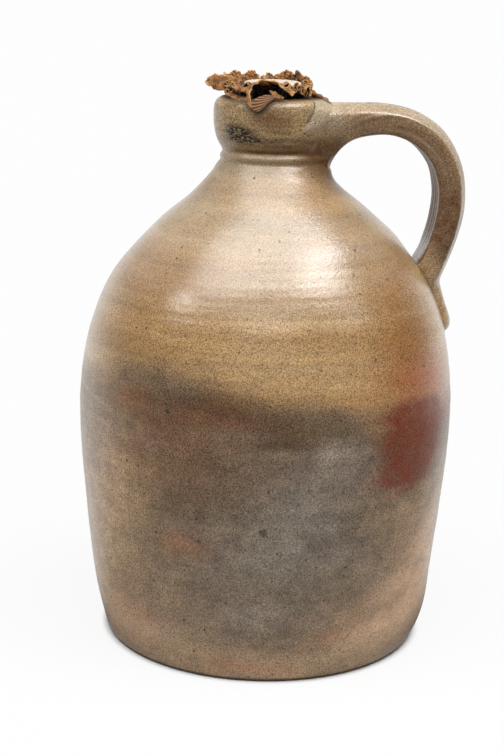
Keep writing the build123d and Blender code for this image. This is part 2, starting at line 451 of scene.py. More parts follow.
# The root of the strap is thumbed out over the lip, up to a seam on each side
SMEAR_RISE = 0.0018
SMEAR_FOOT = 0.2665
SEAM_STEP = 0.0004
SEAM_AZIMUTH = 50.5
SEAM_LEVEL = 0.273
SEAM_SLANT = 1450  # degrees for each metre down
SEAM_HALF_WIDTH = 1.1
from_handle = np.abs(azimuth)
seam_azimuth = SEAM_AZIMUTH + SEAM_SLANT * (SEAM_LEVEL - height)
smear_foot = SMEAR_FOOT - 0.00016 * (from_handle - 28)
smear = SMEAR_RISE * smooth(seam_azimuth + 6, 27, from_handle)
smear = smear + SEAM_STEP * smooth(seam_azimuth + 0.8, seam_azimuth - 0.8, from_handle)
smear = smear * smooth(smear_foot - 0.0035, smear_foot + 0.003, height) * smooth(0.2752, 0.2700, height)
swell = swell + smear * outside[:, None]

body_points = around(radius + swell * row_normals[:, :1], turn, height + swell * row_normals[:, 1:])
body = add_turned("thrown_body", body_points, section[0, 1], section[-1, 1])

# Kiln marks: where the glaze turns grey, flashes red, is toasted at the foot or keeps soot, and painted shade
# and painted light besides

WALL_LEAST_RADIUS = 0.024
MARK_MOST = 1.2
WEB_SHADE = 1.1
WEB_TOP = (0.262, 0.254)
COLLAR_HIGHLIGHT_LEVEL = 0.2558
COLLAR_HIGHLIGHT_HALF_WIDTH = 0.0005
GREY_LINE = (  # azimuth in degrees, height at which the grey begins
    (-180, 0.144), (-160, 0.144), (-150, 0.148), (-140, 0.158), (-128, 0.1565), (-114, 0.1565),
    (-100, 0.1505), (-90, 0.146), (-74, 0.1405), (-60, 0.134), (-40, 0.132), (0, 0.139), (45, 0.150),
    (90, 0.143), (135, 0.146), (180, 0.144),
)
# Ovals: share, azimuth in degrees, height, half width and half height in millimetres along the wall,
# and, where they aren't 0 and 2, tilt in degrees and hardness of the edge
OVALS = {
    "flash": (
        (0.3, -39, 122, 12, 20, 0, 3), (0.25, -46, 96.5, 24, 5.5, 8), (0.3, -54, 103, 16, 4, 8),
        (0.3, -24, 127, 18, 8), (0.25, -14, 112, 20, 6), (0.12, -118, 112, 22, 12),
        (0.5, 70, 118, 30, 18, 6), (0.35, 150, 100, 22, 12),
    ),
    "deep": ((0.45, -136, 178, 35, 28), (0.5, -60, 228.5, 18, 20), (0.5, -85, 171, 50, 4.5, -2)),
    "ember": (
        (0.9, -36, 143.5, 24, 13, -10), (0.22, -119, 116, 34, 22), (0.3, -50, 150, 26, 14),
        (0.5, -109, 135.5, 22, 4.2, -5), (0.4, -138, 138.5, 11, 6), (0.35, -119, 71, 13, 7),
        (0.6, -99, 8.5, 16, 3.2), (0.5, -86, 5.5, 7, 3.5), (0.35, -70, 24, 14, 5, 12),
        (0.3, -137, 27, 12, 4), (0.4, 60, 140, 30, 10), (0.4, 160, 120, 20, 10),
    ),
    "toast": (
        (1, -45, 28, 42, 26, 30, 3), (0.8, -29, 58, 22, 28, 0, 3), (0.5, -92, 6, 35, 10),
        (0.75, -145, 14, 40, 14), (0.9, 30, 20, 70, 22), (0.8, 130, 20, 80, 20),
    ),
    # Warm tan patches; those low on the left, from -142 to -170 degrees, are a painted reflection along that
    # edge
    "warm_and_painted_reflection": (
        (1, -142, 92, 24, 32, 0, 2.4), (0.8, -154, 55, 26, 30), (0.7, -160, 22, 30, 20),
        (0.8, -170, 85, 30, 50), (1, -97, 7, 55, 10), (0.3, -128, 40, 20, 25),
        (0.55, -49, 84, 20, 22), (0.8, -20, 70, 30, 40), (0.7, 100, 70, 60, 30),
    ),
    "haze": (
        (1, -84, 93, 33, 22, 20), (0.7, -72, 117, 16, 10), (0.8, -95, 37, 22, 8),
        (0.8, -90, 63, 34, 16), (0.8, -152, 112, 12, 14), (0.5, -70, 75, 28, 13, -25),
    ),
    "smoke": (
        (1, -90.5, 124.5, 13, 2.2), (0.5, -76, 134, 24, 5, -10), (0.35, -66, 81, 18, 9, -20),
        (0.25, -136, 48, 16, 20), (0.45, -114, 108, 36, 26), (0.3, -130, 143, 30, 12, -10),
        (0.55, -112, 141.5, 34, 8.5, -7), (0.45, -96, 134, 30, 8, -8),
    ),
    "pale_and_painted_light": ((0.5, -76, 118.5, 6.5, 4.2), (0.5, -158, 132.5, 22, 1.1, -7)),
    "soot": (
        (1.15, -127, 259.8, 7.8, 4, -8, 3), (0.9, -121, 256.8, 12.5, 1.2), (0.75, -139, 261.2, 6, 2.8),
        (0.5, -112, 257.2, 8, 1),
    ),
    # Painted shade: the shadow of the cloth's leaf on the lip
    "painted_shade": ((0.3, -98, 264, 14, 6), (0.7, -96, 270, 9, 5)),
}
FLASH_OVAL = (-47, 119.5, 27.5, 20, -8, 2.6)  # the largest flash, without its share


def oval(centre_azimuth, centre_height, half_width, half_height, tilt=0.0, hardness=2.0):
    """A soft oval on the wall: 1 at its centre."""
    across = np.radians(turn_between(azimuth, centre_azimuth)) * np.maximum(radius, WALL_LEAST_RADIUS)
    above = height - MM * centre_height
    c, s = math.cos(math.radians(tilt)), math.sin(math.radians(tilt))
    wide, tall = (c * across + s * above) / (MM * half_width), (c * above - s * across) / (MM * half_height)
    return np.exp(-((wide**2 + tall**2) ** (hardness / 2)))


def on_body(values):
    """The values at the outside of the body, and 0 inside and at the poles."""
    return np.r_[np.where(outside[:, None], values, 0).ravel(), 0, 0]


marks = {name: sum(share * oval(*place) for share, *place in ovals) for name, ovals in OVALS.items()}
marks["flash"] += 0.95 * oval(*FLASH_OVAL) * (0.55 + 0.45 * smooth(-66, -50, azimuth))
deep_side = smooth(-74, -44, azimuth) * smooth(-12, -42, azimuth)
marks["deep"] += 1.05 * deep_side * smooth(0.136, 0.150, height) * smooth(0.212, 0.185, height)
marks["toast"] *= 0.5 + 0.5 * smooth(0.006, 0.030, height)

# The thumbed smear is paler, partly a painted highlight on its raised facet
smeared = smooth(seam_azimuth + 1, seam_azimuth - 3, from_handle)
smeared = smeared * smooth(smear_foot - 0.002, smear_foot + 0.003, height)
marks["pale_and_painted_light"] += 0.6 * smeared * smooth(0.2768, 0.2760, height)
# A painted highlight along the collar's lower edge
collar_highlight = bell((height - COLLAR_HIGHLIGHT_LEVEL) / COLLAR_HIGHLIGHT_HALF_WIDTH)
marks["pale_and_painted_light"] += 0.45 * collar_highlight * smooth(-152, -135, azimuth) * smooth(-58, -74, azimuth)
seam = bell((from_handle - seam_azimuth) / SEAM_HALF_WIDTH)
marks["seam"] = seam * smooth(0.2635, 0.2655, height) * smooth(0.2764, 0.2754, height)

# Painted shade: under the collar, in the crevice above the neck ring, in the web between handle and throat,
# and in the crease at the handle's tail
under_collar = smooth(0.2496, 0.2506, height) * smooth(0.2595, 0.2555, height)
painted_shade = 0.9 * (0.55 + 0.45 * on_side(azimuth, -55, 75, 25)) * under_collar
painted_shade = painted_shade + 0.5 * ringed * bell((height - NECK_RINGS[0][0]) / 0.0011)
throat_web = smooth(0.222, 0.232, height) * smooth(*WEB_TOP, height)
throat_web = throat_web * smooth(0.022, 0.004, handle_distance)
marks["painted_shade"] += painted_shade * (1 - throat_web) + WEB_SHADE * throat_web
marks["painted_shade"] += smooth(0.0040, 0.0, handle_distance) * smooth(0.228, 0.218, height)

brushed = smooth(0.2505, 0.2545, height) * smooth(0.2772, 0.2762, height)
brushed = brushed * (1 - 0.8 * smeared) * smooth(0.0, 0.014, handle_distance)
# dull: less gloss, and a painted shadow in colour on the top of the lip under the cloth and in a ring at the
# foot where it meets the floor
dull = np.r_[(smooth(0.2757, 0.2766, height) + smooth(0.0022, 0.0006, height)).ravel(), 1, 0]
set_attribute(body, "grey", on_body(np.interp(azimuth, *np.array(GREY_LINE).T) - height))
set_attribute(body, "brushed", on_body(brushed))
for name, values in marks.items():
    set_attribute(body, name, on_body(np.clip(values, 0, MARK_MOST)))

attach(body, "jug")
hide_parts("jug_body")


# Handle: the CAD strap, made fine enough to carry the marks of pulling

HANDLE_VOXEL = 0.00075
HANDLE_SMOOTHING = 12
FINGER_GAP = (0.0585, 0.2315)
GROOVES = (  # place across, half width and depth of the finger grooves inside the strap
    (-0.0062, 0.0011, 0.00055), (-0.0012, 0.0014, 0.0007), (0.0045, 0.0012, 0.0006), (0.0088, 0.001, 0.0004),
)
PULL_DEPTH = 0.0003
STRAP_WAVE = 0.00022
WEB_THINNING = 0.0021
SEAT_SINK = 0.0022
TAIL_TOP = 0.2065
ROUNDING = 0.6
ROUNDING_STEPS = 30
FAR_FROM_BODY = 0.05
SWING_LENGTH = 0.04

handle = bpy.data.objects.new("pulled_handle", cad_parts["strap_handle"].data.copy())
scene.collection.objects.link(handle)
remesh = handle.modifiers.new("remesh", "REMESH")
remesh.mode = "VOXEL"
remesh.voxel_size = HANDLE_VOXEL
ease = handle.modifiers.new("ease", "SMOOTH")
ease.factor = 0.5
ease.iterations = HANDLE_SMOOTHING
fine = apply_modifiers(handle)
fine.materials.clear()
fine.shade_smooth()

points = vertex_array(fine)
pairs = np.empty(len(fine.edges) * 2, np.int32)
fine.edges.foreach_get("vertices", pairs)
ends, others = np.r_[pairs[::2], pairs[1::2]], np.r_[pairs[1::2], pairs[::2]]
links = np.bincount(ends, minlength=len(points))[:, None]
body_tree = tree_of(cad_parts["jug_body"].data)
clear_of_seat = smooth(0.0006, 0.0035, distances(body_tree, points, FAR_FROM_BODY))
root_edge = smooth(0.056, 0.038, points[:, 0]) * smooth(0.252, 0.259, points[:, 2]) * clear_of_seat
loose = ROUNDING * (smooth(TAIL_TOP, TAIL_TOP - 0.006, points[:, 2]) + root_edge)[:, None]
for _ in range(ROUNDING_STEPS):
    middle = [np.bincount(ends, points[others, axis], len(points)) for axis in range(3)]
    points = points + loose * (np.stack(middle, axis=1) / links - points)
move_vertices(fine, points)
normals = normal_array(fine)
body_distance = distances(body_tree, points, FAR_FROM_BODY)
beyond = points[:, [0, 2]] - FINGER_GAP
outward = np.linalg.norm(beyond, axis=1)
facing_out = np.sum(normals[:, [0, 2]] * beyond, axis=1) / outward
inner_face, outer_face = smooth(0.35, 0.8, -facing_out), smooth(0.35, 0.8, facing_out)
side_face = 1 - inner_face - outer_face
swing = np.degrees(np.arctan2(beyond[:, 1], beyond[:, 0]))
free = smooth(0.004, 0.02, body_distance)

rise = blend_rise(body_distance, points[:, 2])
low_web = smooth(0.250, 0.238, points[:, 2]) * smooth(0.214, 0.222, points[:, 2])
rise = rise - WEB_THINNING * inner_face * low_web * smooth(0.014, 0.004, body_distance)
for across, half_width, depth in GROOVES:
    rise = rise - inner_face * free * depth * bell((points[:, 1] - across) / half_width)
pulled_outside = waves(points[:, 1] + 0.0006 * np.sin(swing / 17), (0.0023, 0.0036, 0.0058), seed=8)
pulled_side = waves(outward + 0.0007 * np.sin(swing / 23), (0.0026, 0.0041), seed=12)
rise = rise + PULL_DEPTH * free * (outer_face * pulled_outside + side_face * pulled_side)
rise = rise + STRAP_WAVE * free * waves(swing + 400 * points[:, 1], (31.0, 53.0, 87.0), seed=15)
points = points + normals * rise[:, None]
seat = smooth(0.0016, 0.0006, body_distance)
lean_in = -np.stack([points[:, 0], points[:, 1], np.zeros(len(points))], axis=1)
lean_in /= np.linalg.norm(lean_in, axis=1)[:, None]
facing_wall = np.clip(np.sum(normals * lean_in, axis=1), 0, 1)
points = points + lean_in * (seat * SEAT_SINK * facing_wall)[:, None]
move_vertices(fine, points)

levels = points[:, 2]
web = smooth(0.020, 0.003, body_distance) * smooth(0.216, 0.226, levels) * smooth(*WEB_TOP, levels)
near_root = smooth(0.020, 0.006, body_distance) * smooth(0.221, 0.240, levels)
soft_start = smooth(0.050, 0.036, points[:, 0]) * smooth(0.252, 0.259, levels)
root = smooth(0.016, 0.003, body_distance) * smooth(0.260, 0.267, levels)
# Painted shade on the handle: darker on the inner face, the sides and the lower outer face, and in the web
painted_shade = 0.95 * inner_face * np.maximum(free, smooth(0.232, 0.216, levels))
painted_shade = painted_shade + side_face * free * (0.62 + 0.5 * smooth(0.25, 0.215, levels))
painted_shade = painted_shade + 0.3 * outer_face * free * smooth(0.234, 0.212, levels)
for name, values in (
    ("dull", np.maximum.reduce([0.45 * near_root, 0.6 * inner_face * free, 0.9 * soft_start])),
    ("painted_shade", np.clip(np.maximum(WEB_SHADE * web, painted_shade), 0, 1)),
    # Pale: painted light on the handle's outer face, and the root as pale as the smear on the lip
    ("pale_and_painted_light", np.maximum(0.5 * outer_face * smooth(0.225, 0.262, levels), 0.6 * root)),
    ("strap_out", outward),
    ("strap_swing", SWING_LENGTH * np.radians(swing)),
):
    set_attribute(handle, name, values)
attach(handle, "jug")
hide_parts("strap_handle")


# Salt glaze

GOLD = (0.52, 0.335, 0.158)
GOLD_DEEP = (0.43, 0.245, 0.092)
GOLD_LIGHT = (0.57, 0.430, 0.260)
KHAKI = (0.362, 0.278, 0.177)
AMBER = (0.345, 0.172, 0.053)
LIP_BROWN = (0.270, 0.165, 0.066)
LIP_TAN = (0.48, 0.332, 0.148)
GREY_BROWN = (0.185, 0.104, 0.045)
GREY_OLIVE = (0.250, 0.180, 0.108)
GREY_COOL = (0.285, 0.238, 0.186)
MAUVE = (0.225, 0.158, 0.124)
WARM_TAN = (0.52, 0.345, 0.195)
TOASTED = (0.68, 0.445, 0.275)
FLASH_RED = (0.216, 0.046, 0.016)
EMBER = (0.46, 0.150, 0.050)
SHADE_BROWN = (0.145, 0.060, 0.016)
SMOKE = (0.100, 0.054, 0.022)
GRAIN_DARK = (0.46, 0.38, 0.26)
GRAIN_LIGHT = (1.24, 1.27, 1.32)
IRON = (0.045, 0.022, 0.009)
BLACK = (0.012, 0.011, 0.01)
PALE = (0.60, 0.505, 0.385)
SEAM_DARK = (0.05, 0.03, 0.015)
PAINTED_SHADOW = (0.07, 0.045, 0.025)
PIT_DARK = (0.035, 0.028, 0.024)

IRON_SPOTS = (  # cells in a metre, share of cells left bare, largest radius in cells, strength
    (210, 0.48, 0.14, 0.92), (430, 0.40, 0.20, 0.72), (900, 0.30, 0.36, 0.42),
)
FINE_SPOTS = 900
PIT_WARP = 0.002
PITS = (  # azimuth in degrees, height and radius in millimetres
    (-95.2, 81.0, 1.3), (-94.1, 81.5, 1.1), (-94.5, 80.0, 1.5), (-95.5, 79.7, 1.1), (-93.7, 80.3, 1.2),
    (-94.8, 79.0, 1.0), (-99.5, 62.6, 0.5), (-114.0, 73.5, 1.1), (-124.0, 135.6, 1.4), (-60.5, 161.2, 1.0),
    (-74.5, 138.3, 0.7), (-81.9, 133.3, 0.6), (-70.0, 122.0, 0.6), (-54.7, 208.1, 1.0), (-60.5, 198.0, 0.9),
    (-42.4, 197.6, 0.7), (-110.8, 239.3, 0.7), (-49.7, 240.5, 0.6), (-134.5, 105.9, 0.7), (-138.7, 107, 0.9),
    (-137.4, 207.7, 0.8), (-133, 40.6, 0.6), (-101.1, 45.4, 0.6), (-84, 47.9, 0.6), (40, 150, 1.2),
    (95, 90, 1.5), (140, 170, 1),
)


def fired(paint, colour, cloud, streak, mottle):
    """The body's gold with its kiln marks: colour, share of grey, roughness and gloss."""
    place, mark = paint.place(), paint.attribute
    turned = paint.streaks(place, (7, 7, 105), 3, 0.6)
    colour = paint.tint(colour, turned, 0.32, 0.68, 0.83, 1.12)
    colour = paint.lay(colour, AMBER, mark("deep"), paint.step(cloud, 0.3, 0.6, 0.5, 0.95))
    brush = paint.streaks(place, (80, 80, 640), 4, 0.65)
    lip = paint.mix(paint.step(brush, 0.37, 0.61), LIP_BROWN, LIP_TAN)
    colour = paint.lay(colour, lip, mark("brushed"), paint.step(cloud, 0.3, 0.65, 0.5, 0.9))

    depth = paint.math("ADD", mark("grey"), paint.math("MULTIPLY_ADD", cloud, 0.034, -0.017))
    depth = paint.math("ADD", depth, paint.math("MULTIPLY_ADD", streak, 0.016, -0.008))
    colour = paint.mix(paint.step(depth, -0.014, 0.006, 0.0, 0.35), colour, GOLD_DEEP)
    ash = paint.mix(paint.step(cloud, 0.35, 0.65), GREY_BROWN, GREY_OLIVE)
    ash = paint.mix(paint.step(depth, 0.02, 0.06, 0.0, 0.6), ash, GREY_OLIVE)
    ash = paint.lay(ash, GREY_COOL, mark("haze"), 0.85)
    ash = paint.mix(paint.step(paint.noise(place, 52, 3, 0.6), 0.46, 0.66, 0.0, 0.55), ash, MAUVE)
    # Warm tan, partly a painted reflection along the left edge
    ash = paint.lay(ash, WARM_TAN, mark("warm_and_painted_reflection"), 0.8)
    ash = paint.tint(ash, streak, 0.3, 0.7, 0.88, 1.11)
    ash = paint.tint(ash, paint.noise(place, 95, 3, 0.6), 0.34, 0.66, 0.84, 1.13)
    greyed = paint.step(depth, -0.006, 0.013)
    colour = paint.mix(greyed, colour, ash)

    torn = paint.step(mottle, 0.25, 0.6, 0.6, 1.1)
    torn = paint.math("MULTIPLY", torn, paint.step(streak, 0.25, 0.6, 0.7, 1.05))
    colour = paint.lay(colour, EMBER, mark("ember"), torn)
    edged = paint.math("ADD", mark("flash"), paint.step(streak, 0.3, 0.7, -0.10, 0.10))
    edged = paint.math("ADD", edged, paint.step(cloud, 0.3, 0.7, -0.16, 0.16))
    flashed = paint.step(edged, 0.08, 0.70)
    colour = paint.lay(colour, FLASH_RED, flashed, paint.step(mottle, 0.3, 0.62, 0.72, 1.0))
    colour = paint.lay(colour, TOASTED, mark("toast"), paint.step(cloud, 0.25, 0.6, 0.35, 0.95))
    colour = paint.lay(colour, SMOKE, mark("smoke"), 0.7)

    rough = paint.math("MULTIPLY_ADD", greyed, 0.13, 0.36)
    rough = paint.math("MULTIPLY_ADD", mark("dull"), 0.4, rough)
    gloss = paint.math("MULTIPLY_ADD", greyed, -0.25, 0.95)
    gloss = paint.math("SUBTRACT", gloss, paint.step(paint.part(place, 2), 0.221, 0.240, 0.0, 0.45))
    gloss = paint.math("MULTIPLY_ADD", mark("flash"), -0.4, gloss)
    return colour, greyed, rough, paint.math("SUBTRACT", gloss, mark("dull"), clamp=True)


def soiled(paint, colour, mottle):
    """The body's soot, seam, painted shadow on the lip and at the foot, and burst pits: colour, and how pitted
    it is.
    """
    place, mark = paint.place(), paint.attribute
    dashes = paint.noise(paint.vector("MULTIPLY", place, (1, 1, 2.4)), 640, 3, 0.65)
    colour = paint.lay(colour, BLACK, mark("soot"), paint.step(dashes, 0.40, 0.52))
    colour = paint.lay(colour, SEAM_DARK, mark("seam"), paint.step(mottle, 0.4, 0.6, 0.35, 1.1))
    # A painted shadow: the lip's top under the cloth and the foot's ring on the floor
    colour = paint.lay(colour, PAINTED_SHADOW, mark("dull"), 0.9)
    drift = paint.vector("MULTIPLY", paint.noise(place, 500, 3, 0.6, "Color"), (PIT_WARP,) * 3)
    warped = paint.vector("SUBTRACT", paint.vector("ADD", place, drift), (PIT_WARP / 2,) * 3)
    pitted = 0.0
    for pit_azimuth, pit_height, pit_radius in PITS:
        level, size = MM * pit_height, MM * pit_radius
        reach = float(wall_radius(level) + slack(pit_azimuth, level))
        centre = tuple(around(reach, math.radians(pit_azimuth), level))
        away = paint.vector("DISTANCE", warped, centre, "Value")
        pitted = paint.math("MAXIMUM", pitted, paint.step(away, 0.5 * size, 1.25 * size, 1.0, 0.0))
    return paint.lay(colour, PIT_DARK, pitted, 0.85), pitted


def glaze(name, on_handle):
    """Salt glaze. On the handle its streaks follow the strap, and the body's own marks are left out."""
    paint = Paint(name)
    place, mark = paint.place(), paint.attribute
    cloud = paint.noise(paint.vector("MULTIPLY", place, (1, 1, 2.2)), 22, 4, 0.6)
    mottle = paint.noise(paint.vector("MULTIPLY", place, (1, 1, 1.7)), 150, 4, 0.65)
    grain = paint.noise(place, 1550, 2, 0.6)
    peel = paint.noise(place, 520, 2, 0.5)
    if on_handle:
        strap = paint.add("CombineXYZ", {0: mark("strap_out"), 1: mark("strap_swing")})
        streak = paint.streaks(strap, (520, 22, 1), 4, 0.6)
        band = paint.streaks(strap, (160, 12, 1), 2, 0.5)
    else:
        streak = paint.streaks(place, (5, 5, 150), 4, 0.62)
        band = paint.streaks(place, (1.5, 1.5, 42), 2, 0.5)
    relief = paint.math("MULTIPLY_ADD", streak, 0.55, paint.math("MULTIPLY", peel, 0.6))
    relief = paint.math("MULTIPLY_ADD", grain, 0.3, relief)

    colour = paint.mix(paint.step(band, 0.38, 0.66), GOLD, GOLD_DEEP)
    colour = paint.mix(paint.step(streak, 0.5, 0.75, 0.0, 0.6), colour, GOLD_LIGHT)
    high = paint.step(paint.part(place, 2), 0.168, 0.215)
    colour = paint.lay(colour, KHAKI, high, paint.step(band, 0.35, 0.65, 0.85, 0.45))
    if on_handle:
        rough = paint.step(cloud, 0.3, 0.7, 0.34, 0.44)
        gloss = paint.math("SUBTRACT", 0.95, mark("dull"))
    else:
        colour, greyed, rough, gloss = fired(paint, colour, cloud, streak, mottle)
    # Painted shade, in dark brown
    colour = paint.lay(colour, SHADE_BROWN, mark("painted_shade"), paint.step(mottle, 0.25, 0.7, 0.6, 1.0))
    # Pale, partly painted light
    colour = paint.lay(colour, PALE, mark("pale_and_painted_light"), 0.7)
    if on_handle:
        pulled = paint.streaks(strap, (900, 16, 1), 3, 0.65)
        colour = paint.tint(colour, pulled, 0.32, 0.68, 0.84, 1.12)

    # Pepper of iron, from mottling and fine grain to single spots
    colour = paint.tint(colour, mottle, 0.32, 0.68, 0.93, 1.06)
    peppered = paint.math("MULTIPLY_ADD", high, -0.2, 1.1 if on_handle else 0.82)
    if not on_handle:
        spotted = paint.math("MAXIMUM", mark("brushed"), mark("smoke"))
        for amount, where in ((0.4, spotted), (0.02, greyed), (0.25, mark("deep")), (0.45, mark("flash"))):
            peppered = paint.math("MULTIPLY_ADD", where, amount, peppered)
        peppered = paint.math("MULTIPLY_ADD", mark("toast"), -0.25, peppered, clamp=True)
    grained = paint.mix(paint.step(grain, 0.34, 0.66), GRAIN_DARK, GRAIN_LIGHT)
    colour = paint.mix(peppered, colour, grained, "MULTIPLY")
    for scale, bare, largest, strength in IRON_SPOTS:
        chance = paint.add("SeparateColor", {0: paint.cells(place, scale, "Color")})
        size = paint.step(chance, bare, 1.0, 0.0, largest)
        iron = paint.step(paint.math("SUBTRACT", size, paint.cells(place, scale)), -0.03, 0.05)
        iron = paint.math("MULTIPLY", iron, strength)
        iron = paint.math("MULTIPLY", iron, paint.step(chance, bare - 0.02, bare))
        if scale >= FINE_SPOTS:
            iron = paint.math("MULTIPLY", iron, peppered)
        colour = paint.mix(iron, colour, IRON)

    if not on_handle:
        colour, pitted = soiled(paint, colour, mottle)
        relief = paint.math("MULTIPLY_ADD", pitted, -1.2, relief)
    normal = paint.bump(relief, 0.00028, 0.65)
    return paint.finish(
        Base_Color=colour, Roughness=paint.math("ADD", rough, paint.step(grain, 0.3, 0.7, 0.05, -0.02)),
        Normal=normal, IOR=1.52, Specular_IOR_Level=0.25,
        Coat_Weight=gloss, Coat_Roughness=0.26, Coat_IOR=1.75, Coat_Normal=normal,
    )


body.data.materials.append(glaze("salt_glaze", on_handle=False))
handle.data.materials.append(glaze("salt_glaze_handle", on_handle=True))


# Plug: a whittled taper with a sawn top

PLUG_COLUMNS = 96
PLUG_FACETS = 15
PLUG_ROWS = 52
FACET_DEPTH = 0.00045
SAW_DEPTH = 0.00012
EDGE_WEAR = 0.0003
TOP_SLANT = math.tan(math.radians(-2.4))

plug_section = section_of("stopper_plug")
plug_rows = resample(plug_section, np.linspace(0, lengths(plug_section)[-1], PLUG_ROWS + 2)[1:-1])
plug_radius, plug_turn, plug_height = ring_grid(plug_rows, PLUG_COLUMNS)
facet_phase = plug_turn * PLUG_FACETS / (2 * np.pi) + 0.25 * np.sin(2 * plug_turn + 1) + 6 * plug_height
off_ridge = np.abs((facet_phase % 1) - 0.5) * 2
plug_radius = plug_radius - FACET_DEPTH * (1 - off_ridge**2) * smooth(0.004, 0.011, plug_radius)
plug_top = plug_section[:, 1].max()
on_top = smooth(plug_top - 0.0012, plug_top - 0.0002, plug_height)
saw_marks = waves(plug_radius * (0.8 * np.cos(plug_turn) + 0.6 * np.sin(plug_turn)), (0.0019, 0.0031), 21)
top_rise = SAW_DEPTH * saw_marks - EDGE_WEAR * smooth(0.006, 0.014, plug_radius)
top_rise = top_rise - TOP_SLANT * plug_radius * np.sin(plug_turn)
plug_points = around(plug_radius, plug_turn, plug_height + on_top * top_rise)
plug = add_turned("whittled_plug", plug_points, plug_section[0, 1], plug_section[-1, 1])
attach(plug, "plug")
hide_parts("stopper_plug")


# Cloth: a square pushed into the mouth by the plug, whose edge stands out as a ruffle of tight folds

FOLDS = 31
STEPS_IN_FOLD = 24
FOLD_TURN = 1.78
FOLD_SEED = 11
BAG_ROWS = 7
SLEEVE_ROWS = 12
RUFFLE_ROWS = 26
SLEEVE_FOOT = 0.2534
SLEEVE_TOP = 0.2772
SLEEVE_RADIUS = 0.0152
SLEEVE_TAPER = math.tan(math.radians(2.5))
BEND_LENGTH = 0.0052
CLOTH_THICKNESS = 0.00062
CLOTH_SIDE = 0.095
REST_ABOVE_LIP = 0.0007
LIP_EDGE = 0.0293
SLEEVE_FULLNESS = 0.05
BAG_SAG = 0.0004
FRAY = 0.0005
RIB_AZIMUTH = math.radians(40)
HOOD_AZIMUTH = -98
HOOD_HALF_WIDTH = 26

CORNERS = (  # azimuth, extra reach, half width in degrees, tilt that is added in degrees
    (178, -0.0030, 22, -6), (-137, -0.0060, 17, -14), (-100, -0.0085, 24, -18), (-45, -0.0005, 16, 0),
    (5, -0.0105, 45, -4), (90, -0.0030, 45, -2),
)
RUFFLE_REACH = 0.0092
RUFFLE_TILT = 24.0
RUFFLE_DROOP = 22.0
RUFFLE_RADIUS = 0.0225

rng = np.random.default_rng(FOLD_SEED)
fold_length = rng.uniform(0.65, 1.4, FOLDS)
fold_turn = FOLD_TURN * rng.uniform(0.82, 1.16, FOLDS)
fold_reach = rng.uniform(-0.0016, 0.0018, FOLDS)
fold_tilt = rng.uniform(-13, 15, FOLDS)
phase = np.linspace(0, 2 * np.pi, STEPS_IN_FOLD, endpoint=False)
heading = (fold_turn[:, None] * np.cos(phase)[None, :]).ravel()
step_length = np.repeat(fold_length / STEPS_IN_FOLD, STEPS_IN_FOLD)
onward = np.r_[0, np.cumsum(np.cos(heading) * step_length)]
sideways = np.r_[0, np.cumsum(np.sin(heading) * step_length)]
columns = FOLDS * STEPS_IN_FOLD
fold_angle = onward[:-1] / onward[-1] * 2 * np.pi
even_onward = np.interp(np.arange(columns), np.arange(0, columns + 1, STEPS_IN_FOLD), onward[::STEPS_IN_FOLD])
even_angle = even_onward / onward[-1] * 2 * np.pi


def ring_smooth(values, kernel):
    """A running mean over values that close into a ring."""
    return np.convolve(np.tile(values, 3), kernel / kernel.sum(), "same")[columns : 2 * columns]


def spread(values, width):
    """Each fold's value at its columns, eased over that many columns."""
    return ring_smooth(np.repeat(values, STEPS_IN_FOLD), np.hanning(width + 2)[1:-1])


fold_offset = sideways[:-1] - sideways[-1] * np.arange(columns) / columns
fold_offset = fold_offset * (2 * np.pi * RUFFLE_RADIUS / onward[-1])
fold_offset -= ring_smooth(fold_offset, np.ones(STEPS_IN_FOLD))
column_degrees = turn_between(np.degrees(even_angle), 0)
reach = RUFFLE_REACH + spread(fold_reach, 24)
tilt = RUFFLE_TILT + spread(fold_tilt, 30)
for corner_azimuth, extra, half_width, added_tilt in CORNERS:
    nearness = bell(turn_between(column_degrees, corner_azimuth) / half_width)
    reach = reach + extra * nearness
    tilt = tilt + added_tilt * nearness
frayed = np.sign(np.sin(np.arange(columns) * 2.1)) * rng.uniform(0.2, 1, columns)
ruffle_length = BEND_LENGTH + reach + FRAY * frayed

upright = math.pi / 2
sleeve_foot_radius = SLEEVE_RADIUS - SLEEVE_TAPER * (SLEEVE_TOP - SLEEVE_FOOT)
cloth_rows = []  # radius, height, share of the folds' depth and slope
for share in np.linspace(0.04, 1, BAG_ROWS)[:-1]:
    cloth_rows.append((share * sleeve_foot_radius, SLEEVE_FOOT - BAG_SAG * (1 - share), 0.0, upright))
for level in np.linspace(SLEEVE_FOOT, SLEEVE_TOP, SLEEVE_ROWS):
    sleeve = SLEEVE_RADIUS - SLEEVE_TAPER * (SLEEVE_TOP - level)
    cloth_rows.append((sleeve, level, SLEEVE_FULLNESS, upright))
row_radius, row_height = SLEEVE_RADIUS, SLEEVE_TOP
for share in np.arange(1, RUFFLE_ROWS + 1) / RUFFLE_ROWS:
    bent = smooth(0, BEND_LENGTH, share * ruffle_length)
    slope = np.radians(90 + (tilt - 90) * bent - RUFFLE_DROOP * share**3)
    row_radius = row_radius + np.cos(slope) * ruffle_length / RUFFLE_ROWS
    row_height = row_height + np.sin(slope) * ruffle_length / RUFFLE_ROWS
    fullness = SLEEVE_FULLNESS + (1 - SLEEVE_FULLNESS) * smooth(0.12, 0.85, share)
    cloth_rows.append((row_radius, row_height, fullness, slope))

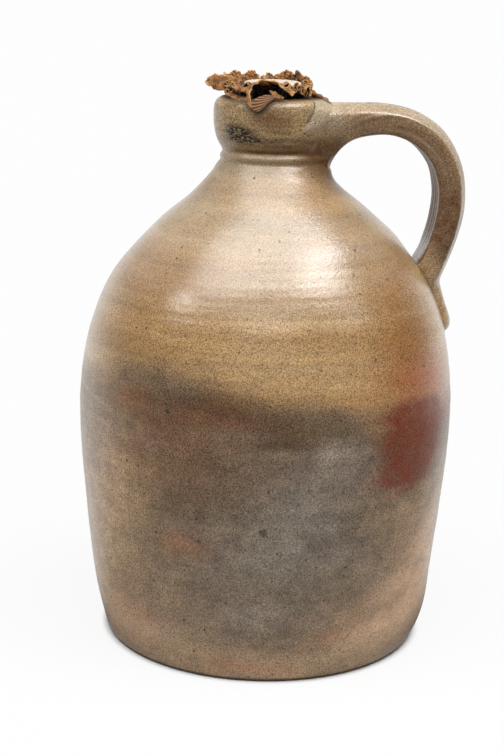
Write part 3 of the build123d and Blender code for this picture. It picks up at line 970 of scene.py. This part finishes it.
lip_rows = rows[outside & (rows[:, 1] > COLLAR_LEVEL)]
lip_radii, lip_levels = lip_rows[::-1, 0], lip_rows[::-1, 1]
cloth_points = []
for row_radius, row_height, fullness, slope in cloth_rows:
    angle = even_angle + fullness * (fold_angle - even_angle)
    r = row_radius - np.sin(slope) * fullness * fold_offset
    z = row_height + np.cos(slope) * fullness * fold_offset
    if fullness > SLEEVE_FULLNESS + 0.01:
        rest_level = np.where(r < LIP_EDGE, np.interp(r, lip_radii, lip_levels), -1) + REST_ABOVE_LIP
        z = np.maximum(z, rest_level)
    cloth_points.append(around(r, angle, z))
cloth_vertices = np.vstack([*cloth_points, [[0, 0, SLEEVE_FOOT - 0.0005]]])
cloth_faces = grid_faces(len(cloth_rows), columns, closed=True)
pole = len(cloth_rows) * columns
cloth_faces += [(pole, (c + 1) % columns, c) for c in range(columns)]

EDGE_ROWS = 5
row_numbers = np.arange(len(cloth_rows))[:, None] - len(cloth_rows)
hidden = bell(turn_between(column_degrees, HOOD_AZIMUTH) / HOOD_HALF_WIDTH)
# root_share: how far a point is into the ruffle's painted shade, less under the hood
root_share = np.clip((row_numbers + RUFFLE_ROWS) / RUFFLE_ROWS, 0, 1) * (1 - 0.9 * hidden)
edge_share = np.clip((row_numbers + EDGE_ROWS) / (EDGE_ROWS - 1), 0, 1) * (1 - hidden)
flat_radius = np.linspace(0, CLOTH_SIDE / 2, len(cloth_rows))[:, None]
rib = flat_radius * np.cos(even_angle - RIB_AZIMUTH)

# The larger folds that fall out of the ruffle, each a small sheet through a few points.
# A point is given as seen from the front, in millimetres: right, out to the viewer, and up from the datum

FRONT_AZIMUTH = math.radians(-95)
front_axis = np.array([math.cos(FRONT_AZIMUTH), math.sin(FRONT_AZIMUTH), 0])
right_axis = np.array([-math.sin(FRONT_AZIMUTH), math.cos(FRONT_AZIMUTH), 0])
PATCH_GRAIN = 0.00042
FOLD_DATUM = 270

HOOD = (  # from its root at the plug to its rim, one line for each place along the arch
    ((-11.2, 25.4, 5.2), (-11.9, 26.8, 4.8), (-11, 28.2, 3.4), (-9.4, 29.2, 2.2)),
    ((-10.8, 22.5, 8.4), (-12, 24.6, 8.4), (-12.2, 26.6, 7.6), (-10.6, 27.8, 6.4)),
    ((-9.8, 18.5, 9.6), (-11.2, 20.5, 11.2), (-12, 23.2, 11.6), (-11, 25.8, 10.8)),
    ((-8, 16.4, 9.6), (-9.2, 18, 12.4), (-9.8, 21, 13.8), (-8.8, 24.6, 14)),
    ((-5.2, 15.6, 9.6), (-5.6, 16.8, 12.8), (-5.8, 20, 14.6), (-5.6, 23.8, 15.5)),
    ((-1.5, 15.6, 9.6), (-1.6, 16.6, 12.8), (-1.8, 19.8, 14.7), (-2, 23.6, 15.7)),
    ((3, 15.6, 9.4), (3, 16.9, 12.6), (2.6, 20.2, 14.1), (2.2, 24, 14.5)),
    ((6.6, 17.2, 9), (6.9, 18.4, 11.8), (6.6, 21.2, 12.6), (5.8, 24.6, 11.6)),
    ((9.4, 19.4, 8.4), (10, 20.6, 10.2), (10, 22.6, 10), (9.4, 24.6, 8.4)),
)
LEAF = (
    ((0.6, 26.2, 8.6), (-3, 27.4, 9), (-6.6, 28, 8), (-9.8, 27.8, 6)),
    ((0.6, 26.4, 8.2), (-3.2, 28, 7.6), (-6.8, 28.8, 6), (-10, 28.8, 3.8)),
    ((0.6, 26.6, 7.9), (-3, 28.4, 6.8), (-6.4, 29.3, 4.8), (-9.4, 29.5, 2.2)),
    ((0.6, 26.7, 7.6), (-2.4, 28.5, 6.2), (-5.2, 29.5, 3.8), (-7.4, 29.9, 1.2)),
    ((0.6, 26.7, 7.3), (-1.8, 28.2, 6), (-3.8, 29.2, 4.4), (-5.4, 29.8, 2.2)),
    ((0.6, 26.5, 7), (-0.6, 27.6, 6.2), (-1.8, 28.4, 5.4), (-3, 29, 4.2)),
)
TONGUE = (
    ((-2, 24.6, 11), (-1.2, 25.2, 10.2), (-0.4, 25.8, 9.2), (0.4, 26.6, 7.8)),
    ((-0.2, 25, 10.6), (0.8, 25.6, 9.8), (1.4, 26, 8.8), (2, 26.6, 7.5)),
    ((2.4, 25.4, 9.4), (2.8, 25.8, 8.9), (3.2, 26.1, 8.3), (3.6, 26.5, 7.4)),
    ((5.2, 25.6, 7.9), (5.3, 25.7, 7.7), (5.3, 25.8, 7.5), (5.4, 25.9, 7.3)),
)
STRIP_HIGH = (
    ((-22.4, 12, 12), (-20.6, 10.8, 13), (-18.4, 9.6, 13), (-16.2, 8.6, 11.6)),
    ((-18, 17.2, 10.4), (-16.8, 15.4, 11.8), (-15.2, 13.6, 12.2), (-13.4, 12, 11)),
    ((-14.8, 20.2, 9.8), (-13.8, 18.2, 11.4), (-12.6, 16.2, 12), (-11.2, 14.4, 11)),
    ((-11.8, 22.2, 10.4), (-11.2, 20.2, 11.6), (-10.4, 18, 12), (-9.4, 16, 11)),
)
STRIP_LOW = (
    ((-23, 12.9, 7.9), (-21, 11.8, 8.7), (-18.8, 10.6, 8.9), (-16.8, 9.6, 8.4)),
    ((-18.8, 18.4, 6), (-17.4, 16.8, 7.2), (-15.8, 15, 7.8), (-14, 13.4, 7.8)),
    ((-14.8, 21.8, 5.4), (-13.8, 20, 6.9), (-12.6, 18, 7.7), (-11.2, 16.2, 7.8)),
    ((-11, 23.8, 5.8), (-10.6, 21.8, 7.1), (-10, 19.6, 7.8), (-9.2, 17.6, 7.8)),
)
LEFT_FLAP = (
    ((-16.5, 3.5, 9.2), (-16.5, 2.4, 11), (-16.5, 1.2, 12.8), (-16, 0.2, 14.4)),
    ((-22, 4.2, 9.2), (-22.5, 3.2, 11.4), (-22.5, 1.6, 13.6), (-22.4, 0, 16)),
    ((-26.6, 3.4, 9), (-27.4, 2.8, 11.4), (-27.6, 1.2, 14.2), (-27, -0.4, 16.6)),
    ((-29.8, 2.4, 9.6), (-30.8, 1.8, 11.6), (-31, 0.8, 14), (-30.6, -0.4, 16.4)),
    ((-30.2, 2.2, 10), (-33.2, 1, 12.2), (-33.6, 0.4, 13.4), (-31.4, -0.4, 15.8)),
)
RIGHT_CURL = (
    ((13.5, 9.5, 9.4), (14, 10.4, 11.8), (13.8, 8.8, 13.4), (13.4, 6.8, 13.6)),
    ((18, 8.2, 8), (18.6, 9, 9.8), (18.4, 7.6, 11), (18, 6, 11)),
    ((22, 6.2, 5.8), (22.6, 7, 7.4), (22.4, 5.6, 8.4), (22, 4.2, 8.4)),
    ((26, 4, 3.6), (26.8, 4.6, 5), (26.6, 3.4, 6.2), (26.2, 2.4, 6.3)),
    ((26.9, 3.4, 3.5), (27.5, 3.6, 4.5), (27.4, 2.8, 5.4), (27, 2, 5.5)),
)
BACK_LEFT = (
    ((-21.5, -6, 10), (-22.8, -7, 13), (-23.4, -7.6, 15.2)),
    ((-18.6, -9, 10.2), (-19.8, -10.4, 14.4), (-20.4, -11.2, 17.6)),
    ((-15.6, -11.5, 10.4), (-16.6, -13, 14.2), (-17, -14, 17)),
    ((-13.4, -12.6, 10.4), (-14.4, -14.4, 13.2), (-14.8, -15.2, 15.2)),
    ((-12, -13.4, 10.4), (-13.2, -15.2, 14.2), (-13.6, -16.2, 17.4)),
    ((-8.8, -14.8, 10.4), (-9.4, -16.8, 14.6), (-9.6, -17.8, 18)),
    ((-6.6, -15.4, 10.4), (-7, -17, 12.8), (-7.2, -17.8, 14.8)),
)
BACK_RIGHT = (
    ((-4.2, -15.6, 10.4), (-4.8, -17, 13), (-5, -17.8, 14.9)),
    ((-2.4, -15.8, 10.4), (-2.8, -17.4, 14.2), (-2.8, -18.4, 17.5)),
    ((0.2, -15.8, 10.4), (0.2, -17.4, 13.6), (0.2, -18.4, 15.9)),
    ((2.6, -15.6, 10.4), (2.8, -17.4, 14), (2.8, -18.4, 16.6)),
    ((5.2, -15.4, 10.4), (5.6, -17.2, 15), (5.8, -18.4, 18.6)),
    ((8, -14.8, 10.4), (8.6, -16.4, 14.6), (8.8, -17.6, 17.8)),
    ((9.2, -14.4, 10.4), (9.8, -16, 14), (10, -17, 16.8)),
    ((10.8, -13.4, 10.4), (11.6, -14.8, 14.8), (12, -15.8, 18.2)),
    ((13.2, -11.2, 10.4), (14.4, -12.6, 14.2), (15, -13.4, 16.4)),
    ((15.8, -8, 10), (17.4, -9.2, 13), (18.2, -10, 14.8)),
    ((16.8, -5, 9.6), (18.4, -6, 11.4), (19.2, -6.6, 12.4)),
)


def fine_patch(lines, pleats, pleat_depth, curve):
    """A fine sheet through the lines' points, along a curve such as resample. Pleats run along the lines."""
    axes = np.array([right_axis, front_axis, (0, 0, 1)])
    points = MM * (np.array(lines) + (0, 0, FOLD_DATUM)) @ axes
    count_long = int(max(lengths(line)[-1] for line in points) / PATCH_GRAIN) + 2
    count_wide = int(max(lengths(line)[-1] for line in points.transpose(1, 0, 2)) / PATCH_GRAIN) + 2
    fine = np.array([curve(line, evenly(line, count_long)) for line in points])
    fine = np.array([curve(line, evenly(line, count_wide)) for line in fine.transpose(1, 0, 2)])
    along, across = np.meshgrid(np.linspace(0, 1, count_long), np.linspace(0, 1, count_wide), indexing="ij")
    normal = np.cross(np.gradient(fine, axis=0), np.gradient(fine, axis=1))
    normal /= np.maximum(np.linalg.norm(normal, axis=-1, keepdims=True), 1e-12)
    pleat = pleat_depth * np.sin(2 * np.pi * pleats * across) * smooth(0.1, 0.8, along)
    return fine + normal * pleat[..., None], along, across


def roll(x, out, z, size, turns, start, length):
    """The lines of a rolled edge whose end faces the viewer: a spiral drawn out from back to front."""
    lines = []
    for share in np.linspace(0, 1, int(10 * turns)):
        angle = math.radians(start) + 2 * math.pi * turns * share
        reach = size * (1 - 0.6 * share)
        across, up = reach * math.cos(angle), reach * math.sin(angle)
        lines.append([(x + across, out - length * back, z + up - 0.4 * back) for back in (1, 0.5, 0)])
    return lines


def straight(line, places):
    """Like resample, with straight lines between the points."""
    along = lengths(line)
    return np.stack([np.interp(places, along, line[:, axis]) for axis in range(3)], axis=1)


def evenly(line, count):
    """So many places along a line, evenly apart."""
    return np.linspace(0, lengths(line)[-1], count)


FOLD_RIBS = 0.017  # width of cloth across a fold, which sets how many ribs cross it
LEAF_RIBS = 0.0055
RIB_LEAN = 0.004
LEAF_FADE = 0.85
CRUMPLE = 0.0007
ROLLS = (  # where the end is, as above, its size in millimetres, turns, start in degrees and length
    (6.4, 22.6, 13.4, 2, 1.5, 200, 3), (11.8, 19.8, 12.4, 2.1, 1.2, 80, 3.5),
    (15.4, 11.5, 14.2, 1.9, 1.4, 250, 3), (-22.6, 10.5, 12.6, 1.7, 1.2, 30, 3),
    (-22.2, 12, 9.3, 1.5, 1.3, 160, 3), (15.6, 15.5, 9.6, 1.6, 1.3, 120, 3),
)
larger_folds = [  # lines, pleats, their depth, curve, and how far root and rim are out of the ruffle's shade
    (HOOD, 0, 0.0, resample, 1, 1), (LEAF, 0, 0.0, resample, 1, 1), (TONGUE, 3, 0.0002, resample, 1, 1),
    (LEFT_FLAP, 0, 0.0, straight, 1, 1), (RIGHT_CURL, 4, 0.0003, resample, 1, 1),
    (STRIP_HIGH, 0, 0.0, resample, 1, 0.25), (STRIP_LOW, 0, 0.0, resample, 1, 0.25),
    (BACK_LEFT, 7, 0.0008, resample, 0.45, 1), (BACK_RIGHT, 11, 0.0008, resample, 0.45, 1),
]
larger_folds += [(roll(*place), 0, 0.0, resample, 0.3, 1) for place in ROLLS]
vertex_parts = [cloth_vertices]
cloth_marks = {
    "edge": [np.r_[edge_share.ravel(), 0]],
    "rib": [np.r_[rib.ravel(), 0]],
    "root": [np.r_[root_share.ravel(), 0]],
    "faded": [np.zeros(len(cloth_vertices))],
}
for lines, pleats, pleat_depth, curve, root_start, root_end in larger_folds:
    fine, along, across = fine_patch(lines, pleats, pleat_depth, curve)
    start = sum(len(part) for part in vertex_parts)
    cloth_faces += [tuple(start + i for i in face) for face in grid_faces(*along.shape, closed=False)]
    vertex_parts.append(fine.reshape(-1, 3))
    border = np.minimum.reduce([1 - along, across, 1 - across])
    cloth_marks["edge"].append(smooth(0.10, 0.0, border).ravel())
    rib_width = LEAF_RIBS if lines is LEAF else FOLD_RIBS
    cloth_marks["rib"].append((rib_width * across + RIB_LEAN * along).ravel())
    cloth_marks["root"].append((root_start + (root_end - root_start) * along).ravel())
    cloth_marks["faded"].append(np.full(along.size, LEAF_FADE if lines is LEAF else 0.0))
cloth_vertices = np.vstack(vertex_parts)
x, y, z = cloth_vertices.T
crumple = np.stack([
    waves(x + 0.7 * z, (0.0047, 0.0071, 0.0029), 31),
    waves(y - 0.6 * z, (0.0051, 0.0067, 0.0033), 32),
    waves(x - y, (0.0043, 0.0077, 0.0031), 33),
], axis=1)
crumple = CRUMPLE * crumple * smooth(SLEEVE_TOP, SLEEVE_TOP + 0.004, z)[:, None]
cloth = add_object("gathered_cloth", cloth_vertices + crumple, cloth_faces)
for name, parts in cloth_marks.items():
    set_attribute(cloth, name, np.concatenate(parts))
thick = cloth.modifiers.new("thickness", "SOLIDIFY")
thick.thickness = CLOTH_THICKNESS
thick.offset = 0

# Painted shade in the folds: each point's shade is the share of directions in which more cloth is close
SHADE_RAYS = 22
SHADE_REACH = 0.006
SHADE_START = 0.0002
thickened = apply_modifiers(cloth)
ray_up = 1 - 1.5 * (np.arange(SHADE_RAYS) + 0.5) / SHADE_RAYS
ray_turn = math.pi * (1 + math.sqrt(5)) * np.arange(SHADE_RAYS)
rays = around(np.sqrt(1 - ray_up**2), ray_turn, ray_up)
cloth_points, cloth_normals = vertex_array(thickened), normal_array(thickened)
cloth_tree = tree_of(thickened)
faces_ray = cloth_normals @ rays.T > 0.25
shade = np.zeros(len(cloth_points))
for index in np.nonzero(cloth_points[:, 2] > SLEEVE_TOP)[0]:
    start = Vector(cloth_points[index] + SHADE_START * cloth_normals[index])
    met = [cloth_tree.ray_cast(start, ray, SHADE_REACH)[0] is not None for ray in rays[faces_ray[index]]]
    shade[index] = np.mean(met) if met else 1.0
set_attribute(cloth, "shade", shade)

# A painted shadow on the lip, darker and with less gloss, where the cloth lies on it or hangs close above
CLOTH_SHADOW = 0.9
CLOTH_SHADOW_REACH = 0.0038
CLOTH_SHADOW_FOOT = 0.264
body_points = vertex_array(body.data)
on_lip = np.nonzero(body_points[:, 2] > CLOTH_SHADOW_FOOT)[0]
cloth_shadow = CLOTH_SHADOW * smooth(CLOTH_SHADOW_REACH, 0.001, distances(cloth_tree, body_points[on_lip], CLOTH_SHADOW_REACH))
dull[on_lip] = np.maximum(dull[on_lip], cloth_shadow)
set_attribute(body, "dull", dull)
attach(cloth, "cloth")
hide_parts("stopper_cloth")

CLOTH_BROWN = (0.37, 0.130, 0.028)
CLOTH_DARK = (0.085, 0.030, 0.009)
CLOTH_WORN = (0.82, 0.450, 0.165)
CLOTH_FADED = (0.34, 0.200, 0.108)
CLOTH_SHADED = (0.012, 0.005, 0.002)
RIB_SPACING = 0.00085
paint = Paint("ribbed_cloth")
place, mark = paint.place(), paint.attribute
ribs = paint.math("SINE", paint.math("MULTIPLY", mark("rib"), 2 * math.pi / RIB_SPACING))
ribs = paint.step(ribs, -0.8, 0.9)
mottle = paint.noise(place, 260, 4, 0.6)
fuzz = paint.noise(place, 2400, 3, 0.7)
colour = paint.mix(paint.step(mottle, 0.35, 0.65), CLOTH_DARK, CLOTH_BROWN)
colour = paint.lay(colour, CLOTH_WORN, ribs, paint.step(mottle, 0.3, 0.6, 0.12, 0.5))
colour = paint.lay(colour, CLOTH_WORN, mark("edge"), paint.step(mottle, 0.25, 0.6, 0.35, 0.9))
colour = paint.mix(mark("faded"), colour, paint.mix(ribs, CLOTH_DARK, CLOTH_FADED))
colour = paint.mix(paint.step(fuzz, 0.35, 0.7, 0.35, 0.0), colour, CLOTH_DARK)
# Painted shade towards the ruffle's root and inside the mouth
colour = paint.mix(paint.step(mark("root"), 0.35, 0.85, 0.95, 0.0), colour, CLOTH_SHADED)
# Painted shade where the folds close in
colour = paint.mix(paint.step(mark("shade"), 0.35, 0.85, 0.0, 0.92), colour, CLOTH_SHADED)
height_map = paint.math("MULTIPLY_ADD", fuzz, 0.8, ribs)
cloth.data.materials.append(paint.finish(
    Base_Color=colour, Roughness=paint.step(fuzz, 0.3, 0.7, 0.72, 0.92), IOR=1.4,
    Normal=paint.bump(height_map, 0.00025, 0.8), Sheen_Weight=0.08, Sheen_Roughness=0.5,
))

WOOD_PALE = (0.60, 0.53, 0.45)
WOOD_RING = (0.47, 0.37, 0.27)
WOOD_STAIN = (0.40, 0.26, 0.14)
PITH = (0.021, -0.012, 0.0)
YEAR_WIDTH = 0.0021
paint = Paint("sawn_wood")
place = paint.place()
from_pith = paint.vector("MULTIPLY", paint.vector("SUBTRACT", place, PITH), (1, 1, 0.06))
pith_distance = paint.vector("LENGTH", from_pith, output="Value")
ring = paint.math("MULTIPLY_ADD", paint.noise(place, 90, 2, 0.5), 0.0016, pith_distance)
ring = paint.step(paint.math("SINE", paint.math("MULTIPLY", ring, 2 * math.pi / YEAR_WIDTH)), -0.2, 1.0)
fibre = paint.noise(paint.vector("MULTIPLY", place, (1, 1, 0.08)), 2600, 3, 0.6)
colour = paint.lay(WOOD_PALE, WOOD_RING, ring, 0.6)
colour = paint.mix(paint.step(fibre, 0.3, 0.62, 0.35, 0.0), colour, WOOD_RING)
colour = paint.mix(paint.step(paint.noise(place, 120, 3, 0.6), 0.55, 0.75, 0.0, 0.35), colour, WOOD_STAIN)
grain_map = paint.math("MULTIPLY_ADD", ring, 0.5, fibre)
plug.data.materials.append(paint.finish(
    Base_Color=colour, Roughness=paint.step(fibre, 0.3, 0.7, 0.7, 0.85), IOR=1.45,
    Normal=paint.bump(grain_map, 0.00012, 0.7),
))


# Stage: a pale floor that keeps the jug's shadow, and soft studio light

WHITE_LEVEL = 0.985
FLOOR_HALF = 3.0
FLOOR_LEVEL = -0.0002
FLOOR_COLOUR = (0.86, 0.87, 0.87, 1)
SHADOW_SHARE = 0.09
SHADOW_ENDS = (0.12, 0.34)
CONTACT_ENDS = (0.0805, 0.0855)
DARK_FRONT = 0.12
WORLD_FILL = 0.14

corners = FLOOR_HALF * np.array([(-1, -1), (1, -1), (1, 1), (-1, 1)])
floor = add_object("floor", [(x, y, FLOOR_LEVEL) for x, y in corners], [(0, 1, 2, 3)])
paint = Paint("floor_white")
distance = paint.vector("LENGTH", paint.place(), output="Value")
plain = paint.step(distance, *SHADOW_ENDS, 1 - SHADOW_SHARE, 1.0)
touching = paint.step(distance, *CONTACT_ENDS)
seen = paint.math("MAXIMUM", paint.ray("Camera"), paint.ray("Glossy"))
seen = paint.math("MAXIMUM", seen, paint.ray("Transmission"))
share = paint.math("MULTIPLY", paint.math("MULTIPLY", plain, touching), seen)
sides = paint.math("DIVIDE", paint.part(paint.place(), 1), distance)
in_glaze = paint.step(sides, -0.15, 0.60, DARK_FRONT, 1.0)
strength = paint.math("MAXIMUM", in_glaze, paint.ray("Camera"))
glow = paint.add("Emission", {"Color": (WHITE_LEVEL, WHITE_LEVEL, WHITE_LEVEL, 1), "Strength": strength})
floor.data.materials.append(paint.finish(Base_Color=FLOOR_COLOUR, Roughness=0.9))
both = paint.add("MixShader", {0: share, 1: paint.shader.outputs[0], 2: glow})
paint.put(paint.tree.nodes["Material Output"].inputs["Surface"], both)

world = bpy.data.worlds.new("studio")
world.use_nodes = True
scene.world = world
sky = Nodes(world.node_tree)
towards = sky.add("TexCoord", {}, "Generated")
behind = sky.step(sky.part(towards, 1), 0.15, 0.95, 0.10, 1.0)
low = sky.step(sky.part(towards, 2), 0.04, 0.5, 1.0, 0.5)
level = sky.choose(sky.ray("Glossy"), WORLD_FILL, sky.math("MULTIPLY", behind, low))
level = sky.choose(sky.ray("Camera"), level, WHITE_LEVEL)
level = sky.choose(sky.ray("Transmission"), level, WHITE_LEVEL)
background = sky.tree.nodes["Background"]
sky.put(background.inputs["Color"], (1, 1, 1, 1))
sky.put(background.inputs["Strength"], level)

SOFTBOXES = (  # name, place, width, depth, radiance
    ("overhead", (0.0, -0.275, 1.22), 1.70, 0.76, 4.35),
    ("key", (0.47, -0.29, 1.17), 0.58, 0.24, 6.4),
    ("front", (-0.10, -0.80, 0.78), 0.60, 0.40, 1.2),
    ("left", (-0.80, -0.25, 0.83), 0.17, 0.16, 14.0),
    ("left_back", (-0.90, 0.50, 0.95), 0.70, 0.60, 0.45),
    ("right_back", (0.95, 0.25, 0.95), 0.60, 0.50, 0.5),
    ("right", (0.79, -0.475, 0.79), 0.20, 0.18, 3.0),
)
AIM = Vector((0, 0, 0.18))
for name, lamp_place, width, depth, radiance in SOFTBOXES:
    light = bpy.data.lights.new(name, "AREA")
    light.shape = "RECTANGLE"
    light.size, light.size_y = width, depth
    light.energy = radiance * math.pi * width * depth
    lamp = bpy.data.objects.new(name, light)
    scene.collection.objects.link(lamp)
    lamp.location = lamp_place
    lamp.rotation_euler = (lamp.location - AIM).to_track_quat("Z", "Y").to_euler()
